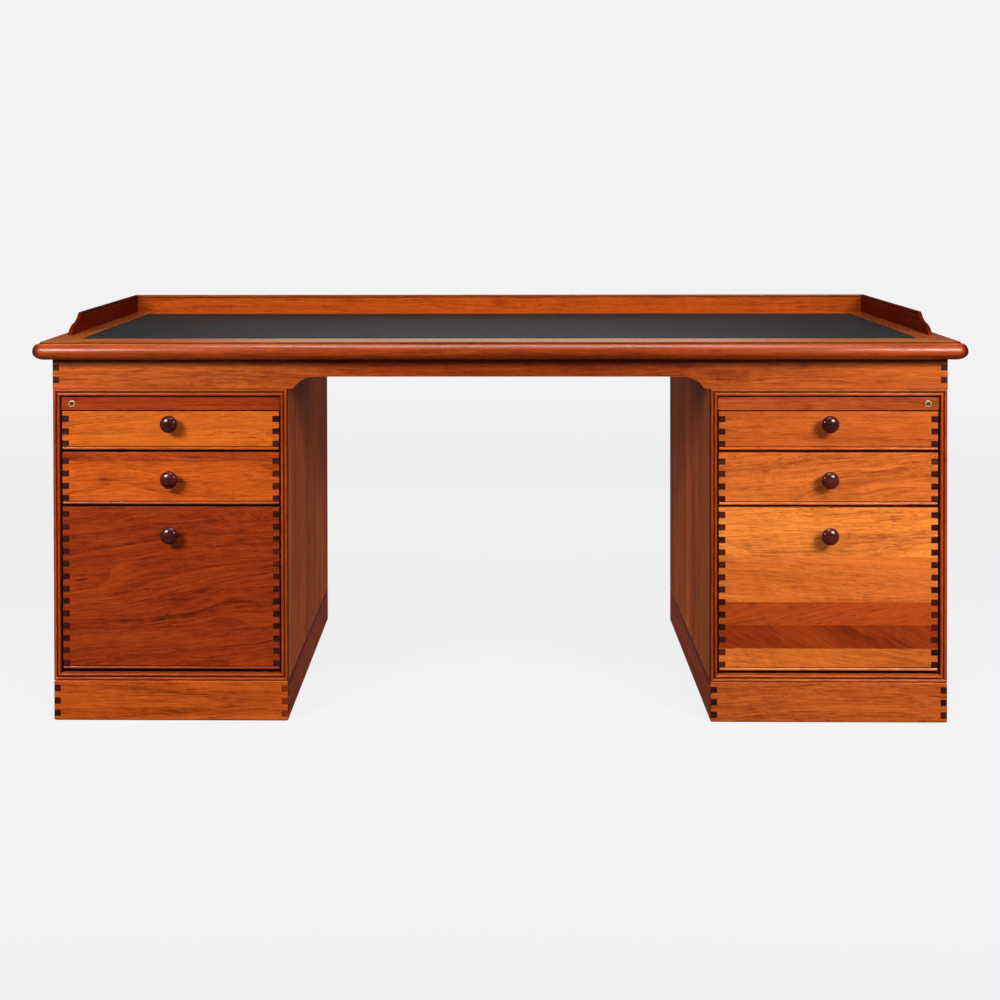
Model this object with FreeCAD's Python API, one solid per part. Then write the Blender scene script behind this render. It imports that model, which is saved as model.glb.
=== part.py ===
"""Pedestal desk: a leather-lined top with a three-sided gallery, on two pedestals of three drawers each.

Millimetres. +X runs to the sitter's right, +Y away from the sitter and +Z up.
The origin is on the floor, under the middle of the top.
"""
import FreeCAD
import Part
import math
import os

# Footprint of the two pedestals and of the rail box that rests on them
KNEEHOLE_WIDTH = 825.0
PEDESTAL_WIDTH = 460.0
PEDESTAL_DEPTH = 732.0

# Solid-wood stock
BOARD = 13.0                # rail box, plinths and drawer sides
PANEL = 14.0                # carcass sides
END_PANEL = 15.0            # carcass tops and bottoms
BACK_PANEL = 10.0
FINGER = 12.2               # height of one finger of a finger joint
ARRIS = 1.0                 # rounding of an edge that a hand meets

# Plinths
PLINTH_HEIGHT = 78.5
PLINTH_FOOT_ROUND = 4.0     # rounding along the floor
PLINTH_CORNER_ROUND = 2.0
PLINTH_GROOVE = 2.2         # shadow groove under the carcass

# Reeded moulding on the front and back of each carcass
MOULDING_DEPTH = 12.0
REED_RISE = 2.5
REED_FLAT = 0.8             # flat beside the outermost reeds
REED_GAP = 2.0              # flat channel between the reeds

# Drawers, which run on strips in the grooves of their sides
TOP_FRONT_HEIGHT = 69.6
MIDDLE_FRONT_HEIGHT = 96.3
BOTTOM_FRONT_HEIGHT = 313.2
TOP_KNOB_DROP = 22.5        # knob centre below the top edge of its front
MIDDLE_KNOB_DROP = 50.5
BOTTOM_KNOB_DROP = 52.3
DRAWER_REAR_SPACE = 70.0    # free behind a closed drawer
DRAWER_FRONT = 16.0
DRAWER_RECESS = 6.0         # drawer faces behind the moulding
DRAWER_GAP = 5.1            # below each drawer
SILL_GAP = 6.3              # below the lowest drawer
DRAWER_SIDE_GAP = 3.0
DRAWER_BOTTOM = 5.8
BOTTOM_PROUD = 1.0          # the bottom board's rounded front edge stands this far out
BOTTOM_ROUND = 2.6
RUNNER_HEIGHT = 12.0
RUNNER_BITE = 6.5           # how far a runner reaches into the side's groove
RUNNER_PLAY = 0.3
GROOVE_STOP = 14.0          # wood left between the front board and the groove

# Lock rail above the drawers, and its cylinder lock
RAIL_HEIGHT = 25.2
RAIL_GAP = 2.6              # between the rail and the top drawer
RAIL_LIP = 8.0              # depth of the rail's face
RAIL_BODY = 10.0            # depth of the full-width part behind it
RAIL_SIDE_REVEAL = 1.0
RAIL_TOP_REVEAL = 2.8
LOCK_INSET = 22.0           # lock axis from the carcass side
LOCK_CASE_RADIUS = 6.5
LOCK_CASE_PROUD = 0.8
LOCK_CASE_TAIL = 4.0        # case behind the rail
BARREL_RADIUS = 4.5
BARREL_PLAY = 0.05
BARREL_SINK = 0.9           # barrel face inside the case's rim
KEY_PIN_RADIUS = 1.2
KEY_SLOT_WIDTH = 1.2
KEY_SLOT_DROP = 3.2
KEY_DEPTH = 10.0
CAM_WIDTH = 7.0
CAM_THICKNESS = 2.0
CAM_REACH = 12.0            # from the axis to the cam's tip, so that it stays behind the rail

# Turned knobs
KNOB_RADIUS = 17.0
KNOB_HEAD = 17.0            # depth of the rounded head
KNOB_BELLY = 0.45           # share of the head behind its widest point
KNOB_NECK_RADIUS = 6.5
KNOB_FOOT_RADIUS = 9.0
KNOB_FOOT = 3.0
KNOB_PROJECTION = 30.0
KNOB_TENON_RADIUS = 5.0
TENON_PLAY = 0.1

# Rail box under the top, with an arch over the kneehole
APRON_HEIGHT = 58.0
ARCH_RISE = 23.2
ARCH_RADIUS = 50.0
ARCH_LAND = 11.5            # flat between the pedestal and the arch
BLOCK_SIZE = 45.0
BOLT_RADIUS = 3.0
BOLT_HEAD_RADIUS = 6.0
BOLT_HEAD = 4.0
BOLT_BITE = 15.0            # thread in the top
BOLT_PLAY = 0.1

# Top: four mitred edge boards around a core, with leather let in flush
TOP_OVERHANG = 35.5
TOP_THICKNESS = 34.5
FRONT_BORDER = 91.0
SIDE_BORDER = 78.0
BACK_BORDER = 92.0
NOSE_STEP = 3.4             # height of the square step between the flat and the rounded nose
STEP_RUN = 3.0
NOSE_RUN = 12.0             # nose beyond the step
NOSE_CORNER = 8.0           # plan radius of the flat's corners
CORE_THICKNESS = 22.0
CORE_LEDGE = 10.0
LEATHER_THICKNESS = 1.6

# Gallery rails along the back and both sides of the top
GALLERY_HEIGHT = 41.0
GALLERY_THICKNESS = 8.0
GALLERY_INSET = 31.0        # outer face from the edge of the top
GALLERY_SETBACK = 161.0     # foot of the side rails from the front edge of the top
RAMP_LENGTH = 88.0          # the side rails' S-shaped front ends
RAMP_SWELL = 4.0            # how far each half of the S leaves a straight line
QUIRK_DEPTH = 1.8           # groove under the rounded top bead
QUIRK_HEIGHT = 2.4
QUIRK_DROP = 4.4            # top of the groove below the top of the rail
BEAD_ROUND = 2.4

FRONT_Y = -PEDESTAL_DEPTH / 2
BACK_Y = PEDESTAL_DEPTH / 2
INNER_X = KNEEHOLE_WIDTH / 2
OUTER_X = INNER_X + PEDESTAL_WIDTH
OPENING_X = (-OUTER_X + PANEL, -INNER_X - PANEL)
DRAWER_FACE_Y = FRONT_Y + DRAWER_RECESS
DRAWER_X = (OPENING_X[0] + DRAWER_SIDE_GAP, OPENING_X[1] - DRAWER_SIDE_GAP)
CARCASS_Y = (FRONT_Y + MOULDING_DEPTH, BACK_Y - MOULDING_DEPTH)
BACK_PANEL_Y = (BACK_Y - DRAWER_RECESS - BACK_PANEL, BACK_Y - DRAWER_RECESS)
DRAWER_Y = (DRAWER_FACE_Y, BACK_PANEL_Y[0] - DRAWER_REAR_SPACE)

DRAWERS = (                 # from the floor up
    ("bottom", BOTTOM_FRONT_HEIGHT, BOTTOM_KNOB_DROP),
    ("middle", MIDDLE_FRONT_HEIGHT, MIDDLE_KNOB_DROP),
    ("top", TOP_FRONT_HEIGHT, TOP_KNOB_DROP),
)
DRAWER_STACK = SILL_GAP - DRAWER_GAP + sum(DRAWER_GAP + DRAWER_BOTTOM + front for _, front, _ in DRAWERS)
OPENING_Z = (
    PLINTH_HEIGHT + END_PANEL,
    PLINTH_HEIGHT + END_PANEL + DRAWER_STACK + RAIL_GAP + RAIL_HEIGHT + RAIL_TOP_REVEAL,
)
PEDESTAL_Z = OPENING_Z[1] + END_PANEL
APRON_Z = (PEDESTAL_Z, PEDESTAL_Z + APRON_HEIGHT)
TOP_Z = (APRON_Z[1], APRON_Z[1] + TOP_THICKNESS)
TOP_X = OUTER_X + TOP_OVERHANG
TOP_Y = BACK_Y + TOP_OVERHANG
BOLT_Y = BACK_Y - BOARD - BLOCK_SIZE / 2
RAIL_Z = (OPENING_Z[1] - RAIL_TOP_REVEAL - RAIL_HEIGHT, OPENING_Z[1])
LOCK_X = OPENING_X[0] + LOCK_INSET
LOCK_Z = RAIL_Z[0] + RAIL_HEIGHT / 2

X_AXIS = FreeCAD.Vector(1, 0, 0)
Y_AXIS = FreeCAD.Vector(0, 1, 0)
Z_AXIS = FreeCAD.Vector(0, 0, 1)


def vector(x, y, z):
    return FreeCAD.Vector(x, y, z)


def block(x, y, z):
    """A box between two limits on each axis."""
    return Part.makeBox(x[1] - x[0], y[1] - y[0], z[1] - z[0], vector(x[0], y[0], z[0]))


def rod(radius, start, direction, length):
    return Part.makeCylinder(radius, length, start, direction)


def face_of(edges):
    return Part.Face(Part.Wire(Part.__sortEdges__(edges)))


def outline(points):
    """Straight edges through the points, and back to the first."""
    return Part.Face(Part.makePolygon([*points, points[0]]))


def line(start, end):
    return Part.LineSegment(start, end).toShape()


def arc(start, middle, end):
    return Part.Arc(start, middle, end).toShape()


def quarter_ellipse(start, end, centre):
    """From the tip of the longer half-axis to the tip of the shorter one, or the other way round."""
    tips = sorted((start, end), key=lambda tip: -tip.distanceToPoint(centre))
    ellipse = Part.Ellipse(tips[0], tips[1], centre)
    return Part.ArcOfEllipse(ellipse, 0, math.pi / 2).toShape()


def rounded(solid, radius, chosen):
    """The solid with the edges that chosen() picks rounded over."""
    edges = [edge for edge in solid.Edges if chosen(edge.BoundBox)]
    return solid.makeFillet(radius, edges)


def joined(first, *others):
    return first.fuse(list(others)).removeSplitter() if others else first


def mirrored(shape):
    """The same piece on the other side of the desk."""
    return shape.mirror(vector(0, 0, 0), X_AXIS)


def side_fingers(low, high, margins):
    """Spans of the side boards' fingers, where the end boards keep one margin (at the top) or two."""
    count = int((high - low - margins * FINGER / 2) / FINGER)
    count -= 1 - count % 2
    start = low if margins == 1 else (low + high - count * FINGER) / 2
    return [(start + i * FINGER, start + (i + 1) * FINGER) for i in range(0, count, 2)]


def finger_box(x, y, z, side_z, end_boards, side_board, spans):
    """Two side boards, a front board and a back board, finger-jointed at their corners.

    end_boards holds the thickness of the front and back boards, z their heights.
    """
    front_cell = (y[0], y[0] + end_boards[0])
    back_cell = (y[1] - end_boards[1], y[1])
    sides = []
    fingers = []
    for cell_x in ((x[0], x[0] + side_board), (x[1] - side_board, x[1])):
        own = [block(cell_x, cell_y, span) for cell_y in (front_cell, back_cell) for span in spans]
        fingers += own
        sides.append(joined(block(cell_x, (front_cell[1], back_cell[0]), side_z), *own))
    front = block(x, front_cell, z[0]).cut(fingers)
    back = block(x, back_cell, z[1]).cut(fingers)
    return front, back, sides


def reeded_bar(length, width, mitre):
    """A bar along +X with two reeds along its front, at y 0, and its outer edge at z 0.

    mitre is the width of the bars that it meets.
    """
    reed = (width - 2 * REED_FLAT - REED_GAP) / 2
    shoulder = REED_RISE
    reeds = ((REED_FLAT, REED_FLAT + reed), (width - REED_FLAT - reed, width - REED_FLAT))
    edges = [
        line(vector(0, MOULDING_DEPTH, 0), vector(0, shoulder, 0)),
        line(vector(0, shoulder, 0), vector(0, shoulder, reeds[0][0])),
        line(vector(0, shoulder, reeds[0][1]), vector(0, shoulder, reeds[1][0])),
        line(vector(0, shoulder, reeds[1][1]), vector(0, shoulder, width)),
        line(vector(0, shoulder, width), vector(0, MOULDING_DEPTH, width)),
        line(vector(0, MOULDING_DEPTH, width), vector(0, MOULDING_DEPTH, 0)),
    ]
    for low, high in reeds:
        crown = vector(0, 0, (low + high) / 2)
        edges.append(arc(vector(0, shoulder, low), crown, vector(0, shoulder, high)))
    bar = face_of(edges).extrude(X_AXIS * length)
    mitres = outline([
        vector(0, 0, 0), vector(length, 0, 0), vector(length - mitre, 0, width), vector(mitre, 0, width),
    ])
    return bar.common(mitres.extrude(Y_AXIS * MOULDING_DEPTH))


def moulding_frame(facing):
    """Four mitred bars around the opening, on the front (facing -1) or the back (facing 1)."""
    x = (OPENING_X[0] - PANEL, OPENING_X[1] + PANEL)
    z = (OPENING_Z[0] - END_PANEL, OPENING_Z[1] + END_PANEL)
    across = reeded_bar(x[1] - x[0], END_PANEL, PANEL)
    upright = reeded_bar(z[1] - z[0], PANEL, END_PANEL)
    places = (
        (across, 0, x[0], z[0]),
        (upright, -90, x[1], z[0]),
        (across, 180, x[1], z[1]),
        (upright, 90, x[0], z[1]),
    )
    bars = []
    for profile, turn, start_x, start_z in places:
        bar = profile.copy()
        bar.rotate(vector(0, 0, 0), Y_AXIS, turn)
        bar.translate(vector(start_x, FRONT_Y, start_z))
        bars.append(bar if facing < 0 else bar.mirror(vector(0, 0, 0), Y_AXIS))
    return bars


def carcass():
    """The box of a pedestal: two sides, a top, a bottom and a back panel."""
    z = (PLINTH_HEIGHT, PEDESTAL_Z)
    bolt_holes = [rod(BOLT_RADIUS + BOLT_PLAY, start, Z_AXIS, END_PANEL) for start in bolt_feet(-1)]
    return {
        "pedestal_outer_side": block((-OUTER_X, OPENING_X[0]), CARCASS_Y, z),
        "pedestal_inner_side": block((OPENING_X[1], -INNER_X), CARCASS_Y, z),
        "pedestal_bottom_panel": block(OPENING_X, CARCASS_Y, (PLINTH_HEIGHT, OPENING_Z[0])),
        "pedestal_top_panel": block(OPENING_X, CARCASS_Y, (OPENING_Z[1], PEDESTAL_Z)).cut(bolt_holes),
        "pedestal_back_panel": block(OPENING_X, BACK_PANEL_Y, OPENING_Z),
        "pedestal_mouldings": moulding_frame(-1) + moulding_frame(1),
    }


def plinth():
    """A finger-jointed ring under the carcass, rounded along the floor and grooved along its top."""
    x = (-OUTER_X, -INNER_X)
    y = (FRONT_Y, BACK_Y)
    z = (0.0, PLINTH_HEIGHT)
    envelope = block(x, y, z)
    envelope = rounded(envelope, PLINTH_CORNER_ROUND, lambda b: b.ZLength > PLINTH_HEIGHT / 2)
    envelope = rounded(envelope, PLINTH_FOOT_ROUND, lambda b: b.ZMax < z[0] + ARRIS / 2)
    top_edges = [edge for edge in envelope.Edges if edge.BoundBox.ZMin > z[1] - ARRIS / 2]
    envelope = envelope.makeChamfer(PLINTH_GROOVE, top_edges)
    spans = side_fingers(*z, 2)
    front, back, sides = finger_box(x, y, (z, z), z, (BOARD, BOARD), BOARD, spans)
    return {
        "plinth_front_and_back": [front.common(envelope), back.common(envelope)],
        "plinth_sides": [side.common(envelope) for side in sides],
    }


def drawer(front_height, knob_drop, base):
    """One drawer: finger-jointed box, applied bottom board and turned knob. base is its lowest level."""
    floor = base + DRAWER_BOTTOM
    spans = side_fingers(floor, floor + front_height, 1)
    box_z = (floor, spans[-1][1])
    y = DRAWER_Y
    front, back, sides = finger_box(
        DRAWER_X, y, ((floor, floor + front_height), box_z), box_z, (DRAWER_FRONT, BOARD), BOARD, spans
    )
    middle = sum(box_z) / 2
    groove_z = (middle - RUNNER_HEIGHT / 2 - RUNNER_PLAY, middle + RUNNER_HEIGHT / 2 + RUNNER_PLAY)
    groove_y = (y[0] + DRAWER_FRONT + GROOVE_STOP, y[1])
    depth = RUNNER_BITE + RUNNER_PLAY
    grooves = [
        block((DRAWER_X[0], DRAWER_X[0] + depth), groove_y, groove_z),
        block((DRAWER_X[1] - depth, DRAWER_X[1]), groove_y, groove_z),
    ]
    knob_at = vector(sum(DRAWER_X) / 2, y[0], floor + front_height - knob_drop)
    front = rounded(front, ARRIS, lambda b: b.XLength > PEDESTAL_WIDTH / 2 and b.YMax < y[0] + ARRIS / 2
                    and b.ZMin > floor + front_height - ARRIS / 2)
    front = front.cut(rod(KNOB_TENON_RADIUS + TENON_PLAY, knob_at, Y_AXIS, DRAWER_FRONT))
    board = block(DRAWER_X, (y[0] - BOTTOM_PROUD, y[1]), (base, floor))
    board = rounded(board, BOTTOM_ROUND, lambda b: b.YMax < y[0])
    knob = knob_turning()
    knob.translate(knob_at)
    pieces = {
        "drawer_front": front,
        "drawer_box": [side.cut(grooves) for side in sides] + [back.cut(grooves)],
        "drawer_bottom": board,
        "drawer_knob": knob,
    }
    return pieces, runners(groove_y[0], (middle - RUNNER_HEIGHT / 2, middle + RUNNER_HEIGHT / 2))


def runners(groove_start, z):
    """The two strips that carry a drawer, screwed to the carcass sides and stopping it when it closes."""
    reach = DRAWER_SIDE_GAP + RUNNER_BITE
    y = (groove_start + RUNNER_PLAY, BACK_PANEL_Y[0])
    return [
        block((OPENING_X[0], OPENING_X[0] + reach), y, z),
        block((OPENING_X[1] - reach, OPENING_X[1]), y, z),
    ]


def knob_turning():
    """A knob turned in one piece with its tenon, seat at the origin and head towards -Y."""
    head_back = KNOB_PROJECTION - KNOB_HEAD
    widest = -(head_back + KNOB_HEAD * KNOB_BELLY)
    throat = KNOB_NECK_RADIUS + (KNOB_FOOT_RADIUS - KNOB_NECK_RADIUS) / 2
    points = {
        "tenon_end": vector(0, DRAWER_FRONT, 0),
        "tenon_rim": vector(KNOB_TENON_RADIUS, DRAWER_FRONT, 0),
        "tenon_root": vector(KNOB_TENON_RADIUS, 0, 0),
        "foot_back": vector(KNOB_FOOT_RADIUS, 0, 0),
        "foot_front": vector(throat, -KNOB_FOOT, 0),
        "neck": vector(KNOB_NECK_RADIUS, -(KNOB_FOOT + head_back) / 2, 0),
        "under_head": vector(throat, -head_back, 0),
        "shoulder": vector(KNOB_RADIUS, widest, 0),
        "nose": vector(0, -KNOB_PROJECTION, 0),
    }
    section = face_of([
        line(points["tenon_end"], points["nose"]),
        quarter_ellipse(points["nose"], points["shoulder"], vector(0, widest, 0)),
        quarter_ellipse(points["shoulder"], points["under_head"], vector(throat, widest, 0)),
        arc(points["under_head"], points["neck"], points["foot_front"]),
        line(points["foot_front"], points["foot_back"]),
        line(points["foot_back"], points["tenon_root"]),
        line(points["tenon_root"], points["tenon_rim"]),
        line(points["tenon_rim"], points["tenon_end"]),
    ])
    return section.revolve(vector(0, 0, 0), Y_AXIS, 360)


def lock_rail():
    """The fixed rail over the top drawer: a narrower face in front of a body that fills the opening."""
    face = block(
        (OPENING_X[0] + RAIL_SIDE_REVEAL, OPENING_X[1] - RAIL_SIDE_REVEAL),
        (DRAWER_FACE_Y, DRAWER_FACE_Y + RAIL_LIP),
        (RAIL_Z[0], RAIL_Z[0] + RAIL_HEIGHT),
    )
    face = rounded(face, ARRIS / 2, lambda b: b.YMax < DRAWER_FACE_Y + ARRIS / 4)
    body_y = (DRAWER_FACE_Y + RAIL_LIP, DRAWER_FACE_Y + RAIL_LIP + RAIL_BODY)
    rail = joined(face, block(OPENING_X, body_y, RAIL_Z))
    axis_start = vector(LOCK_X, DRAWER_FACE_Y, LOCK_Z)
    return rail.cut(rod(LOCK_CASE_RADIUS, axis_start, Y_AXIS, RAIL_LIP + RAIL_BODY))


def lock():
    """The brass case in the rail, and the barrel that turns in it with its cam."""
    start = DRAWER_FACE_Y - LOCK_CASE_PROUD
    end = DRAWER_FACE_Y + RAIL_LIP + RAIL_BODY + LOCK_CASE_TAIL
    case = rod(LOCK_CASE_RADIUS, vector(LOCK_X, start, LOCK_Z), Y_AXIS, end - start)
    case = rounded(case, LOCK_CASE_PROUD * 0.8, lambda b: b.YMax < start + LOCK_CASE_PROUD / 2)
    case = case.cut(rod(BARREL_RADIUS, vector(LOCK_X, start, LOCK_Z), Y_AXIS, end - start))
    face_y = start + BARREL_SINK
    barrel = rod(BARREL_RADIUS - BARREL_PLAY, vector(LOCK_X, face_y, LOCK_Z), Y_AXIS, end - face_y)
    pin_hole = rod(KEY_PIN_RADIUS, vector(LOCK_X, face_y, LOCK_Z), Y_AXIS, KEY_DEPTH)
    slot = block(
        (LOCK_X - KEY_SLOT_WIDTH / 2, LOCK_X + KEY_SLOT_WIDTH / 2),
        (face_y, face_y + KEY_DEPTH),
        (LOCK_Z - KEY_SLOT_DROP, LOCK_Z),
    )
    tip = vector(LOCK_X + CAM_REACH - CAM_WIDTH / 2, end, LOCK_Z)
    cam = block(
        (LOCK_X - BARREL_RADIUS, tip.x),
        (end, end + CAM_THICKNESS),
        (LOCK_Z - CAM_WIDTH / 2, LOCK_Z + CAM_WIDTH / 2),
    )
    cam = joined(cam, rod(CAM_WIDTH / 2, tip, Y_AXIS, CAM_THICKNESS))
    return case, [barrel.cut([pin_hole, slot]), cam]


def pedestal():
    """Every piece of the left pedestal."""
    pieces = {**carcass(), **plinth(), "lock_rail": lock_rail()}
    strips = []
    base = OPENING_Z[0] + SILL_GAP
    for name, front_height, knob_drop in DRAWERS:
        drawer_pieces, drawer_runners = drawer(front_height, knob_drop, base)
        pieces.update({f"{name}_{piece}": shape for piece, shape in drawer_pieces.items()})
        strips += drawer_runners
        base += DRAWER_BOTTOM + front_height + DRAWER_GAP
    pieces["drawer_runners"] = strips
    return pieces


def bolt_feet(side):
    """Where the bolts enter a pedestal's top panel; side is -1 on the left, 1 on the right."""
    stations = (OUTER_X - BOARD - BLOCK_SIZE / 2, INNER_X + PANEL + BLOCK_SIZE / 2)
    return [vector(side * x, y, OPENING_Z[1]) for x in stations for y in (-BOLT_Y, BOLT_Y)]


def fixings():
    """Blocks glued inside the rail box, and the bolts that hold pedestals, blocks and top together."""
    blocks = []
    bolts = []
    half = BLOCK_SIZE / 2
    length = END_PANEL + APRON_HEIGHT + BOLT_BITE
    for foot in bolt_feet(-1) + bolt_feet(1):
        cube = block((foot.x - half, foot.x + half), (foot.y - half, foot.y + half), APRON_Z)
        blocks.append(cube.cut(rod(BOLT_RADIUS + BOLT_PLAY, foot, Z_AXIS, length)))
        head = rod(BOLT_HEAD_RADIUS, foot - Z_AXIS * BOLT_HEAD, Z_AXIS, BOLT_HEAD)
        bolts.append(joined(head, rod(BOLT_RADIUS, foot, Z_AXIS, length)))
    return blocks, bolts


def arch():
    """What is cut out of the front and back rails over the kneehole."""
    run = math.sqrt(ARCH_RADIUS ** 2 - (ARCH_RADIUS - ARCH_RISE) ** 2)
    half = INNER_X - ARCH_LAND
    low, high = APRON_Z[0], APRON_Z[0] + ARCH_RISE
    turn = math.acos((ARCH_RADIUS - ARCH_RISE) / ARCH_RADIUS) / 2
    mid_x = half - run + ARCH_RADIUS * math.sin(turn)
    mid_z = high - ARCH_RADIUS * (1 - math.cos(turn))
    y = FRONT_Y
    edges = [
        line(vector(-half, y, low), vector(half, y, low)),
        arc(vector(half, y, low), vector(mid_x, y, mid_z), vector(half - run, y, high)),
        line(vector(half - run, y, high), vector(run - half, y, high)),
        arc(vector(run - half, y, high), vector(-mid_x, y, mid_z), vector(-half, y, low)),
    ]
    return face_of(edges).extrude(Y_AXIS * PEDESTAL_DEPTH)


def apron():
    """The finger-jointed box of rails between the pedestals and the top."""
    x = (-OUTER_X, OUTER_X)
    y = (FRONT_Y, BACK_Y)
    spans = side_fingers(*APRON_Z, 2)
    front, back, sides = finger_box(x, y, (APRON_Z, APRON_Z), APRON_Z, (BOARD, BOARD), BOARD, spans)
    cut_out = arch()
    return {
        "apron_front_rail": front.cut(cut_out),
        "apron_back_rail": back.cut(cut_out),
        "apron_side_rails": sides,
    }


def nose_profile():
    """Section of the rounded edge: x outwards from the axis of the flat's corner, z down from the flat."""
    flat = NOSE_CORNER
    brow = flat + STEP_RUN
    half = (TOP_THICKNESS - NOSE_STEP) / 2
    middle = -NOSE_STEP - half
    tip = vector(brow + NOSE_RUN, 0, middle)
    underside = vector(0, 0, -TOP_THICKNESS)
    return face_of([
        line(vector(0, 0, 0), vector(flat, 0, 0)),
        line(vector(flat, 0, 0), vector(flat, 0, -NOSE_STEP)),
        line(vector(flat, 0, -NOSE_STEP), vector(brow, 0, -NOSE_STEP)),
        quarter_ellipse(vector(brow, 0, -NOSE_STEP), tip, vector(brow, 0, middle)),
        quarter_ellipse(tip, underside, vector(0, 0, middle)),
        line(underside, vector(0, 0, 0)),
    ])


def top_slab():
    """The whole top before it is divided: a slab with its nose run around four rounded corners."""
    corner = NOSE_CORNER + STEP_RUN + NOSE_RUN
    x = TOP_X - corner
    y = TOP_Y - corner
    pieces = [block((-x, x), (-y, y), TOP_Z)]
    turns = ((x, y, 0, 2 * y), (-x, y, 90, 2 * x), (-x, -y, 180, 2 * y), (x, -y, 270, 2 * x))
    for corner_x, corner_y, turn, length in turns:
        straight = nose_profile().extrude(Y_AXIS * -length)
        bend = nose_profile().revolve(vector(0, 0, 0), Z_AXIS, 90)
        for piece in (straight, bend):
            piece.rotate(vector(0, 0, 0), Z_AXIS, turn)
            piece.translate(vector(corner_x, corner_y, TOP_Z[1]))
            pieces.append(piece)
    return joined(*pieces)


def top():
    """Edge boards, core and leather."""
    field_x = (-TOP_X + SIDE_BORDER, TOP_X - SIDE_BORDER)
    field_y = (-TOP_Y + FRONT_BORDER, TOP_Y - BACK_BORDER)
    leather_z = (TOP_Z[1] - LEATHER_THICKNESS, TOP_Z[1])
    core_z = (leather_z[0] - CORE_THICKNESS, leather_z[0])
    below_x = (field_x[0] + CORE_LEDGE, field_x[1] - CORE_LEDGE)
    below_y = (field_y[0] + CORE_LEDGE, field_y[1] - CORE_LEDGE)
    ring = top_slab().cut([
        block(field_x, field_y, (core_z[0], TOP_Z[1])),
        block(below_x, below_y, (TOP_Z[0], core_z[0])),
    ])
    above = Z_AXIS * (END_PANEL + APRON_HEIGHT)
    ring = ring.cut([
        rod(BOLT_RADIUS + BOLT_PLAY, foot + above, Z_AXIS, BOLT_BITE) for foot in bolt_feet(-1) + bolt_feet(1)
    ])
    inner = [vector(x, y, TOP_Z[0]) for x, y in (
        (field_x[0], field_y[0]), (field_x[1], field_y[0]), (field_x[1], field_y[1]), (field_x[0], field_y[1]),
    )]
    outer = [vector(x * TOP_X, y * TOP_Y, TOP_Z[0]) for x, y in ((-1, -1), (1, -1), (1, 1), (-1, 1))]
    below = [vector(x, y, TOP_Z[0]) for x, y in (
        (below_x[0], below_y[0]), (below_x[1], below_y[0]), (below_x[1], below_y[1]), (below_x[0], below_y[1]),
    )]
    boards = []
    for i in range(4):
        j = (i + 1) % 4
        wedge = outline([outer[i], outer[j], inner[j], below[j], below[i], inner[i]])
        boards.append(ring.common(wedge.extrude(Z_AXIS * TOP_THICKNESS)))
    front, right, back, left = boards
    return {
        "top_front_edge": front,
        "top_back_edge": back,
        "top_side_edges": [left, right],
        "top_core_panel": block(field_x, field_y, core_z),
        "leather_writing_surface": block(field_x, field_y, leather_z),
    }


def gallery_section():
    """Section of a gallery rail: inner face at x 0, thickness towards +x, foot at z 0."""
    top_z = GALLERY_HEIGHT
    quirk_top = top_z - QUIRK_DROP
    quirk_foot = quirk_top - QUIRK_HEIGHT
    face_top = quirk_foot - QUIRK_DEPTH
    brow = QUIRK_DEPTH / 2
    bead = BEAD_ROUND
    return face_of([
        line(vector(0, 0, 0), vector(0, 0, face_top)),
        line(vector(0, 0, face_top), vector(QUIRK_DEPTH, 0, quirk_foot)),
        line(vector(QUIRK_DEPTH, 0, quirk_foot), vector(QUIRK_DEPTH, 0, quirk_top)),
        line(vector(QUIRK_DEPTH, 0, quirk_top), vector(brow, 0, quirk_top)),
        line(vector(brow, 0, quirk_top), vector(brow, 0, top_z - bead)),
        arc(
            vector(brow, 0, top_z - bead),
            vector(brow + bead * 0.3, 0, top_z - bead * 0.3),
            vector(brow + bead, 0, top_z),
        ),
        line(vector(brow + bead, 0, top_z), vector(GALLERY_THICKNESS - bead, 0, top_z)),
        arc(
            vector(GALLERY_THICKNESS - bead, 0, top_z),
            vector(GALLERY_THICKNESS - bead * 0.3, 0, top_z - bead * 0.3),
            vector(GALLERY_THICKNESS, 0, top_z - bead),
        ),
        line(vector(GALLERY_THICKNESS, 0, top_z - bead), vector(GALLERY_THICKNESS, 0, 0)),
        line(vector(GALLERY_THICKNESS, 0, 0), vector(0, 0, 0)),
    ])


def ramp():
    """What the S-shaped end leaves of the right rail, seen from the side."""
    x = 0
    foot_y = -TOP_Y + GALLERY_SETBACK
    half_run = RAMP_LENGTH / 2
    half_rise = GALLERY_HEIGHT / 2
    waist = vector(x, foot_y + half_run, TOP_Z[1] + half_rise)
    foot = vector(x, foot_y, TOP_Z[1])
    brow = vector(x, foot_y + RAMP_LENGTH, TOP_Z[1] + GALLERY_HEIGHT)
    swell = vector(0, -half_rise, half_run).normalize() * RAMP_SWELL
    edges = [
        arc(foot, (foot + waist) * 0.5 + swell, waist),
        arc(waist, (waist + brow) * 0.5 - swell, brow),
        line(brow, vector(x, TOP_Y, brow.z)),
        line(vector(x, TOP_Y, brow.z), vector(x, TOP_Y, foot.z)),
        line(vector(x, TOP_Y, foot.z), foot),
    ]
    return face_of(edges).extrude(X_AXIS * TOP_X)


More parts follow.
